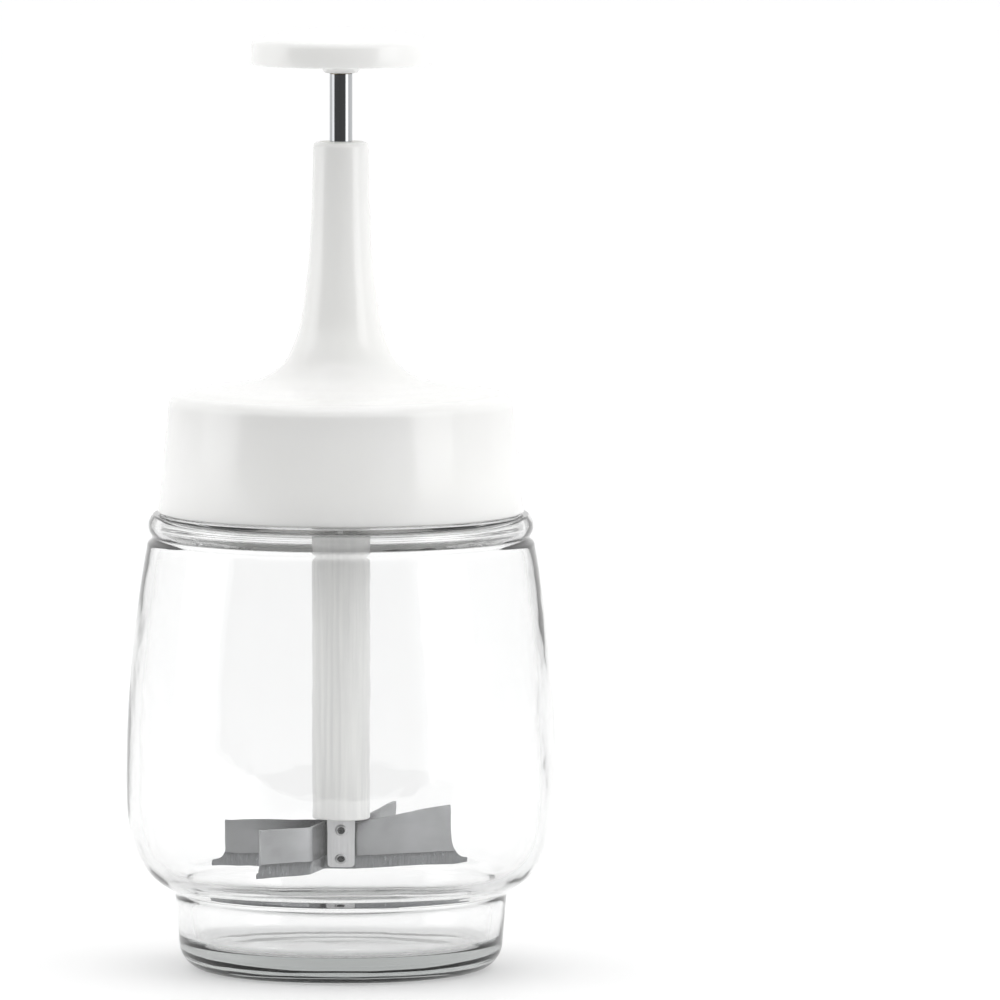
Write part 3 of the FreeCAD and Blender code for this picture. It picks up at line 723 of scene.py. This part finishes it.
def neck_points(cap):
    """Outside of the neck and its flare, from the top down."""
    flare = ((0.74, 32.0), (1.84, 21.4), (2.84, 15.0), (4.29, 10.6), (6.49, 6.6), (11.1, 3.3), (18.0, 1.8),
             (25.6, 0.8))
    points = [(cap.neck_radius, CAP_HIGH.z - NECK_ROUND)]
    points += [(cap.neck_radius + wide * MM, cap.top_height + high * MM) for wide, high in flare]
    return points + [(cap.top_radius - cap.edge_round, cap.top_height)]


def cap_outside(cap):
    """Outside of the moulding, from the neck's top down to the skirt's lower edge."""
    neck = neck_points(cap)
    top, edge, lip = CAP_HIGH.z, cap.edge_round, 0.4 * MM
    profile = corner((cap.neck_radius - NECK_ROUND, top), (cap.neck_radius, top), neck[0])
    profile += smooth(neck, (0, -1), (1, -0.1), 7)[1:]
    profile += eased((cap.top_radius, cap.top_height), (-edge, 0), (0, -edge), 8)
    return profile + eased((cap.skirt_radius, CAP_LOW.z), (0, lip), (-lip, 0), 3)


def cap_profile(cap):
    """Closed profile of the moulding: down the outside, up the skirt, round the socket and up the bore."""
    land, land_inside = SEAL_HIGH.z + FACE_GAP, -SEAL_LOW.x - 4.8 * MM
    mouth, mouth_top, soft = 38.3 * MM, CAP_LOW.z + 4.4 * MM, 0.3 * MM
    shelf, slim = WASHER_HIGH.z, 4.3 * MM
    bore = TUBE_HIGH.x + PRESS_GAP
    socket, socket_low, socket_round = bore + 2.2 * MM, shelf - 15 * MM, 0.4 * MM
    head, seat = NECK_BUSH_HIGH.x + PRESS_GAP, CAP_HIGH.z - 1.15 * MM
    hollow = [p for p in neck_points(cap) if land_inside - cap.wall > p[0] > socket + cap.wall]
    hollow = inward(hollow, cap.wall)[::-1]
    under = smooth([(land_inside, land)] + hollow + [(socket, hollow[-1][1] + cap.wall)])
    return cap_outside(cap) + [
        (mouth + soft, CAP_LOW.z), (mouth, CAP_LOW.z + soft), (mouth, mouth_top),
        (cap.thread_bore, mouth_top + mouth - cap.thread_bore), (cap.thread_bore, land), *under,
        (socket, socket_low + socket_round), (socket - socket_round, socket_low), (bore + soft, socket_low),
        (bore, socket_low + soft), (bore, shelf), (slim, shelf), (slim, seat), (head, seat),
        (head, CAP_HIGH.z)]


def knob_profile(plunger):
    """Closed profile of the knob: over the dome, down the side, under the ribs and up the rod's bore."""
    radius = KNOB_HIGH.x
    rim = KNOB_HIGH.z - plunger.knob_dome
    edge = plunger.knob_edge
    collar = KNOB_LOW.z
    bottom = collar + 1.9 * MM
    ceiling = rim - plunger.knob_wall
    inner = radius - plunger.knob_wall
    boss = 5.6 * MM
    bore = plunger.rod_radius + PRESS_GAP
    pocket = INSERT_HIGH.x + PRESS_GAP
    lip = 0.35 * MM
    profile = dish(radius - edge, rim, plunger.knob_dome, 12)[::-1]
    profile += eased((radius, rim), (-edge, 0), (0, -edge), 6)[1:]
    profile += eased((radius, bottom), (0, lip), (-lip, 0), 3) + eased((inner, bottom), (lip, 0), (0, lip), 3)
    profile += eased((inner, ceiling), (0, -1 * MM), (-1 * MM, 0), 3)
    profile += eased((boss, ceiling), (0.6 * MM, 0), (0, -0.6 * MM), 3)
    profile += [(boss, bottom), (4.8 * MM, bottom)]
    profile += corner((3.75 * MM, collar + 0.25 * MM), (3.6 * MM, collar), (3.35 * MM, collar), 2)
    seat, roof = INSERT_LOW.z - FACE_GAP, INSERT_HIGH.z + 0.3 * MM
    return profile + [(bore, collar), (bore, seat), (pocket, seat), (pocket, roof), (0, roof)]


# --- pieces -----------------------------------------------------------------------------------------------

class PieceOperator:
    """What the operators share: each builds its pieces once and can be undone."""
    bl_options = {"REGISTER", "UNDO"}


class CHOPPER_OT_jar(PieceOperator, bpy.types.Operator):
    """Build the footed glass jar with its ring and interrupted screw thread"""
    bl_idname = "chopper.jar"
    bl_label = "Glass jar"

    def execute(self, context):
        jar = context.scene.chopper_jar
        piece = lathe("glass_jar", jar_profile(jar), jar.steps)
        root, crest = jar.collar_radius - THREAD_ROOT, jar.collar_radius + jar.thread_depth
        combine(piece, thread_bars("ridge", root, crest, JAR_HIGH.z - THREAD_DROP, RIDGE_SPAN, 18))
        finish_piece(piece, "jar", "glass", ["jar"], "glass")
        return {"FINISHED"}


class CHOPPER_OT_cap(PieceOperator, bpy.types.Operator):
    """Build the screw cap with its long neck, lugs and gussets"""
    bl_idname = "chopper.cap"
    bl_label = "Screw cap"

    def execute(self, context):
        cap = context.scene.chopper_cap
        piece = lathe("screw_cap", cap_profile(cap), cap.steps)
        middle = JAR_HIGH.z - THREAD_DROP - THREAD_LEAD / (2 * THREAD_STARTS)
        root, crest = cap.thread_bore + THREAD_ROOT, cap.thread_bore - cap.lug_depth
        lugs = thread_bars("lug", root, crest, middle, LUG_SPAN, 8)
        inner = TUBE_HIGH.x + 1.1 * MM
        foot, outer = inner + 2.5 * MM, TUBE_HIGH.x + 12.2 * MM
        low = SEAL_HIGH.z - 5.95 * MM
        half = 0.7 * MM
        roof = inward([p for p in neck_points(cap) if outer + 3 * MM > p[0] > inner + 1 * MM], cap.wall / 2)
        upper = [(min(r, outer), h) for r, h in roof][::-1]
        web = [(inner, low), (foot, low), (outer, SEAL_HIGH.z + FACE_GAP)] + upper + [(inner, upper[-1][1])]
        gusset = slab("gusset", [(r, -half, h) for r, h in web], 2 * half, (0, 1, 0))
        combine(piece, lugs + ring_of(gusset, cap.gussets))
        finish_piece(piece, "lid", "white_gloss", ["cap"], "gloss")
        return {"FINISHED"}


class CHOPPER_OT_knob(PieceOperator, bpy.types.Operator):
    """Build the hollow knob with its ribs and collar"""
    bl_idname = "chopper.knob"
    bl_label = "Knob"

    def execute(self, context):
        plunger = context.scene.chopper_plunger
        piece = lathe("palm_knob", knob_profile(plunger), plunger.steps)
        top = KNOB_HIGH.z - plunger.knob_dome - plunger.knob_wall + 0.5 * MM
        low, inner, outer, half = top - 2.1 * MM, 5.1 * MM, KNOB_HIGH.x - 1.0 * MM, 0.6 * MM
        web = [(inner, low), (outer, low), (outer, top), (inner, top)]
        rib = slab("rib", [(r, -half, h) for r, h in web], 2 * half, (0, 1, 0))
        combine(piece, ring_of(rib, plunger.knob_ribs))
        finish_piece(piece, "plunger", "white_gloss", ["knob"], "gloss")
        return {"FINISHED"}


class CHOPPER_OT_rod(PieceOperator, bpy.types.Operator):
    """Build the plated rod with its stud, clip groove and peened stub"""
    bl_idname = "chopper.rod"
    bl_label = "Plunger rod"

    def execute(self, context):
        plunger = context.scene.chopper_plunger
        radius = plunger.rod_radius
        nick, cut = 0.25 * MM, 0.35 * MM
        stud, stub, head = 2.0 * MM, STUB_RADIUS, 1.9 * MM
        waist, core = radius - 0.6 * MM, stud - cut
        pitch, turns = 0.7 * MM, 7
        bridge, collar, head_top = BRACKET_HIGH.z, KNOB_LOW.z + FACE_GAP, ROD_LOW.z + 0.5 * MM
        groove_low, groove_high = CLIP_LOW.z - FACE_GAP, CLIP_HIGH.z + FACE_GAP
        profile = [(0, ROD_LOW.z)]
        profile += corner((head - 0.4 * MM, ROD_LOW.z), (head, ROD_LOW.z), (head, head_top - 0.1 * MM), 4)
        profile += [(head, head_top), (stub, head_top), (stub, bridge), (radius - nick, bridge)]
        profile += [(radius, bridge + nick), (radius, groove_low), (waist, groove_low), (waist, groove_high)]
        profile += [(radius, groove_high), (radius, collar - nick), (radius - nick, collar)]
        for i in range(turns):
            low = collar + cut + pitch * i
            profile += [(core, low), (stud, low + pitch / 2)]
        profile += [(core, ROD_HIGH.z), (0, ROD_HIGH.z)]
        piece = lathe("chromed_rod", profile, 64)
        finish_piece(piece, "plunger", "chrome", ["plunger_rod"], "chrome")
        return {"FINISHED"}


class CHOPPER_OT_tube(PieceOperator, bpy.types.Operator):
    """Build the guide tube that hangs in the jar"""
    bl_idname = "chopper.tube"
    bl_label = "Guide tube"

    def execute(self, context):
        outer, bore, slim = TUBE_HIGH.x, TUBE_HIGH.x - 1.35 * MM, TUBE_HIGH.x - 1.95 * MM
        low, high, lip = TUBE_LOW.z, TUBE_HIGH.z, 0.35 * MM
        step = TUBE_BUSH_HIGH.z + FACE_GAP
        profile = eased((bore, low), (0, lip), (lip, 0), 3) + eased((outer, low), (-lip, 0), (0, lip), 3)
        profile += [(outer, high), (slim, high), (slim, step), (bore, step)]
        piece = lathe("guide_tube_extrusion", profile, 96)
        finish_piece(piece, "lid", "white_satin", ["guide_tube"], "tube")
        return {"FINISHED"}


class CHOPPER_OT_spring(PieceOperator, bpy.types.Operator):
    """Build the return spring, which shortens as the plunger goes down"""
    bl_idname = "chopper.spring"
    bl_label = "Return spring"

    def execute(self, context):
        spring = context.scene.chopper_spring
        radius = SPRING_HIGH.x - spring.wire
        low, high = SPRING_LOW.z + spring.wire, SPRING_HIGH.z - spring.wire
        clear_selection()
        bpy.ops.mesh.primitive_circle_add(vertices=10, radius=spring.wire * 0.98, fill_type="NGON",
                                          location=(radius, 0, low), rotation=(math.pi / 2, 0, 0))
        settle(bpy.context.object)
        bpy.ops.object.mode_set(mode="EDIT")
        bpy.ops.mesh.select_all(action="SELECT")
        facets = 32 * spring.coils
        sweep(facets, high - low, 2 * math.pi * spring.coils)
        tidy_shell()
        piece = named("coil_spring")
        finish_piece(piece, "lid", "spring_steel", ["return_spring"], "wire", crisp=WIRE_CREASE)
        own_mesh(piece)
        return {"FINISHED"}


class CHOPPER_OT_blades(PieceOperator, bpy.types.Operator):
    """Bend the two blades from ground sheet, with their flared toes and rivet holes"""
    bl_idname = "chopper.blades"
    bl_label = "Blades"

    def execute(self, context):
        sizes = context.scene.chopper_blades
        half, low, top = sizes.thickness / 2, BLADE_LOW.z, SPACER_HIGH.z + 0.6 * MM
        hollow = ((0.53, 1.2), (0.45, 2.2), (0.30, 2.9))      # mm: depth of the grinding at a height
        ground = [(half - deep * MM, low + high * MM) for deep, high in hollow]
        section = [(-half, low), (-half + sizes.edge, low), *ground, (half, low + sizes.ground_height),
                   (half, top), (-half, top)]
        offset = SPACER_HIGH.y + half
        hub = 3.4 * MM
        arms = {
            "front_arm": {"tip": (-18.2 * MM, -19.4 * MM), "toe": 0.8 * MM, "flare": 3.0 * MM, "rise": 0.0},
            "right_arm": {"tip": (28.6 * MM, 8.2 * MM), "toe": 4.8 * MM, "flare": 7.2 * MM, "rise": 2.8 * MM},
            "left_arm": {"tip": (-29.0 * MM, 2.6 * MM), "toe": 3.2 * MM, "flare": 4.4 * MM, "rise": 0.0},
            "back_arm": {"tip": (13.0 * MM, 24.4 * MM), "toe": 2.4 * MM, "flare": 5.0 * MM, "rise": 2.0 * MM},
        }
        elbow = (-6.6 * MM, -13.4 * MM)
        lines = {
            "front_blade": ("front_arm", [elbow, (-hub - 0.3 * MM, -offset), (hub, -offset)], "right_arm"),
            "rear_blade": ("left_arm", [(-hub, offset), (hub, offset)], "back_arm"),
        }
        for name, (first, knees, last) in lines.items():
            path = [arms[first]["tip"], *knees, arms[last]["tip"]]
            piece = bent_strip(name + "_sheet", section, path, sizes.bend)
            for arm, knee in ((arms[first], knees[0]), (arms[last], knees[-1])):
                raise_end(piece, arm, knee, low, top)
                combine(piece, [toe_waste(arm, knee, low, top, half)], "DIFFERENCE")
            combine(piece, rivet_cutters(), "DIFFERENCE")
            finish_piece(piece, "plunger", "blade_steel", [name], "blade", "ground", crisp=SHEET_CREASE)
            band = low + sizes.ground_height - 0.1 * MM
            paint_faces(piece, 1, lambda centre, normal: -0.7 < normal.z < -0.06 and centre.z < band)
        return {"FINISHED"}


class CHOPPER_OT_bracket(PieceOperator, bpy.types.Operator):
    """Bend the bracket's strip, and make the spacer and the rivets that hold the stack"""
    bl_idname = "chopper.bracket"
    bl_label = "Bracket and rivets"

    def execute(self, context):
        sizes = context.scene.chopper_blades
        half = sizes.strip / 2
        reach, foot, bridge = BRACKET_HIGH.y - half, BRACKET_LOW.z, BRACKET_HIGH.z - half
        wide = BRACKET_HIGH.x
        section = [(-half, -wide), (half, -wide), (half, wide), (-half, wide)]
        path = [(-reach, foot), (-reach, bridge), (reach, bridge), (reach, foot)]
        bend, foot_round = 1.0 * MM, 0.9 * MM
        strip = bent_strip("bent_bracket", section, path, bend)
        strip.rotation_euler = (math.pi / 2, 0, math.pi / 2)
        settle(strip)
        soften_edges(strip, foot_round, 5, lambda a, b: a.z < foot + 0.01 * MM and abs(a.y - b.y) > half)
        stub_hole = pin("stub_hole", STUB_RADIUS + PRESS_GAP, (0, 0, bridge), (0, 0, 0), 4 * MM)
        combine(strip, [stub_hole] + rivet_cutters(), "DIFFERENCE")
        finish_piece(strip, "plunger", "bracket_steel", ["blade_bracket"], "bright", crisp=SHEET_CREASE)
        self.spacer()
        self.rivets()
        return {"FINISHED"}

    def spacer(self):
        clear_selection()
        size = SPACER_HIGH - SPACER_LOW
        bpy.ops.mesh.primitive_cube_add(size=1, location=(SPACER_HIGH + SPACER_LOW) / 2, scale=size)
        block = named("spacer_block")
        soften_edges(block, 0.25 * MM, 3, lambda a, b: True)
        combine(block, rivet_cutters(), "DIFFERENCE")
        finish_piece(block, "plunger", "bracket_steel", ["blade_spacer"], "bright")

    def rivets(self):
        reach, face = BRACKET_HIGH.y, RIVET_HIGH.y
        shank, head, rim, bowl, lip = RIVET_SHANK, RIVET_HEAD, 1.0 * MM, 0.84 * MM, 0.02 * MM
        hollow = [(bowl * i / 5, face - lip + 0.9 * MM * ((i / 5) ** 2 - 1)) for i in range(6)]
        profile = hollow + corner((rim, face), (head - lip, face - lip), (head, reach + 0.12 * MM), 4)
        profile += [(head, reach), (shank, reach), (shank, -reach), (head, -reach)]
        profile += corner((head, -reach - 0.12 * MM), (head - 0.05 * MM, -face), (rim - 0.3 * MM, -face), 4)
        rivet = lathe("rivet", profile + [(0, -face)], 40)
        rivet.rotation_euler.x = math.pi / 2
        settle(rivet)
        for name, height in zip(("low_rivet", "high_rivet"), RIVET_HEIGHTS):
            turned_copy(rivet, 0).location.z = height
            twin = named(name)
            finish_piece(twin, "plunger", "bracket_steel", ["blade_rivets"], "rivet", "hollow")
            # painted shade: the dimple in each rivet's front face takes the near-black 'hollow' material
            paint_faces(twin, 1, lambda centre, normal: math.hypot(centre.x, centre.z - height) < 0.97 * bowl
                        and centre.y < 0)
        bpy.data.objects.remove(rivet)


class CHOPPER_OT_small_pieces(PieceOperator, bpy.types.Operator):
    """Finish the bushes, washers, clip, bumper, seal and insert, which keep their solids"""
    bl_idname = "chopper.small_pieces"
    bl_label = "Small pieces"

    def execute(self, context):
        kept = {
            "cap_seal": "seal", "neck_bush": "bush", "tube_bush": "bush", "stop_bumper": "bumper",
            "lower_spring_washer": "washer", "upper_spring_washer": "washer", "rod_end_washer": "washer",
            "rod_clip": "clip", "knob_insert": "brass"}
        for name, finish in kept.items():
            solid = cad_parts[name]
            solid.data.materials.clear()
            solid.data.materials.append(finish_for(finish))
        return {"FINISHED"}


class CHOPPER_OT_stage(PieceOperator, bpy.types.Operator):
    """Lay the pale floor and set the soft lights and the camera"""
    bl_idname = "chopper.stage"
    bl_label = "Stage"

    def execute(self, context):
        stage = context.scene.chopper_stage
        clear_selection()
        side = 60
        bpy.ops.mesh.primitive_plane_add(size=side, location=(0, side / 2 - stage.table, -FACE_GAP))
        floor = named("floor")
        floor.data.materials.append(pale_floor())
        soft_world(context.scene)
        aim = Vector((0, 0, stage.aim))
        for name, place, size, power in (
                ("right_softbox", (1.25, -0.62, 0.45), (0.75, 1.1), 3.4),
                ("left_softbox", (-1.45, -0.10, 0.45), (0.9, 1.1), 2.6),
                ("top_softbox", (0.0, -0.2, 1.8), (1.4, 1.4), 3)):
            clear_selection()
            bpy.ops.object.light_add(type="AREA", location=place)
            lamp = bpy.context.object
            lamp.name = name
            lamp.data.shape = "RECTANGLE"
            lamp.data.size, lamp.data.size_y = size
            lamp.data.energy = power
            lamp.rotation_euler = (aim - Vector(place)).to_track_quat("-Z", "Y").to_euler()
        back = Vector((0, -math.cos(stage.elevation), math.sin(stage.elevation)))
        bpy.ops.object.camera_add(location=aim + back * stage.distance)
        camera = bpy.context.object
        camera.rotation_euler = (-back).to_track_quat("-Z", "Y").to_euler()
        camera.data.sensor_width = 36
        camera.data.lens = camera.data.sensor_width * stage.distance / stage.width
        camera.data.shift_x = stage.shift
        camera.data.clip_end = 100
        context.scene.camera = camera
        context.scene.view_settings.view_transform = "Standard"
        return {"FINISHED"}


def soft_world(scene):
    """White studio with a dimmer patch on the camera's side, which glossy fronts mirror as their darker
    middle. It doesn't show straight through clear glass."""
    world = bpy.data.worlds.new("white_studio")
    scene.world = world
    world.use_nodes = True
    world.node_tree.nodes.clear()
    add = partial(node, world.node_tree)
    way = add("TexCoord", "Generated")
    turned = add("Mapping", Vector=way, Rotation=(0, 0, math.radians(14)))
    back = add("SeparateXYZ", "Y", Vector=turned)
    high = add("SeparateXYZ", "Z", Vector=turned)
    beside = add("MapRange", 0, SOFT_STEP, Value=back, From_Min=-0.60, From_Max=-0.36)
    above = add("MapRange", 0, SOFT_STEP, Value=high, From_Min=0.22, From_Max=0.50)
    share = add("Math", 0, {"operation": "MAXIMUM"}, _0=beside, _1=above)
    grey = add("MapRange", Value=share, To_Min=0.10, To_Max=1.0)
    passed = add("LightPath", "Is Transmission Ray")
    mirrored = add("LightPath", "Glossy Depth")
    through = add("Math", 0, {"operation": "SUBTRACT", "use_clamp": True}, _0=passed, _1=mirrored)
    seen = add("LightPath", "Is Camera Ray")
    clear = add("Math", 0, {"operation": "MAXIMUM"}, _0=seen, _1=through)
    level = add("Math", 0, {"operation": "MAXIMUM"}, _0=grey, _1=clear)
    sky = add("Background", Color=level, Strength=1.02)
    add("OutputWorld", Surface=sky)


OPERATORS = (CHOPPER_OT_jar, CHOPPER_OT_cap, CHOPPER_OT_knob, CHOPPER_OT_rod, CHOPPER_OT_tube,
             CHOPPER_OT_spring, CHOPPER_OT_blades, CHOPPER_OT_bracket, CHOPPER_OT_small_pieces,
             CHOPPER_OT_stage)
SETTINGS = {"chopper_jar": JarSizes, "chopper_cap": CapSizes, "chopper_plunger": PlungerSizes,
            "chopper_blades": BladeSizes, "chopper_spring": SpringSizes, "chopper_finishes": Finishes,
            "chopper_stage": StageSizes}


class CHOPPER_PT_panel(bpy.types.Panel):
    """Lists the steps that build the chopper"""
    bl_idname = "CHOPPER_PT_panel"
    bl_label = "Food chopper"
    bl_space_type = "VIEW_3D"
    bl_region_type = "UI"
    bl_category = "Chopper"

    def draw(self, context):
        for step in OPERATORS:
            self.layout.operator(step.bl_idname)


def register():
    for name, settings in SETTINGS.items():
        bpy.utils.register_class(settings)
        setattr(bpy.types.Scene, name, PointerProperty(type=settings))
    for step in OPERATORS:
        bpy.utils.register_class(step)
    bpy.utils.register_class(CHOPPER_PT_panel)


def unregister():
    bpy.utils.unregister_class(CHOPPER_PT_panel)
    for step in reversed(OPERATORS):
        bpy.utils.unregister_class(step)
    for name, settings in reversed(SETTINGS.items()):
        delattr(bpy.types.Scene, name)
        bpy.utils.unregister_class(settings)


def main():
    register()
    bpy.ops.chopper.jar()
    bpy.ops.chopper.cap()
    bpy.ops.chopper.knob()
    bpy.ops.chopper.rod()
    bpy.ops.chopper.tube()
    bpy.ops.chopper.spring()
    bpy.ops.chopper.blades()
    bpy.ops.chopper.bracket()
    bpy.ops.chopper.small_pieces()
    bpy.ops.chopper.stage()


if __name__ == "__main__":
    main()
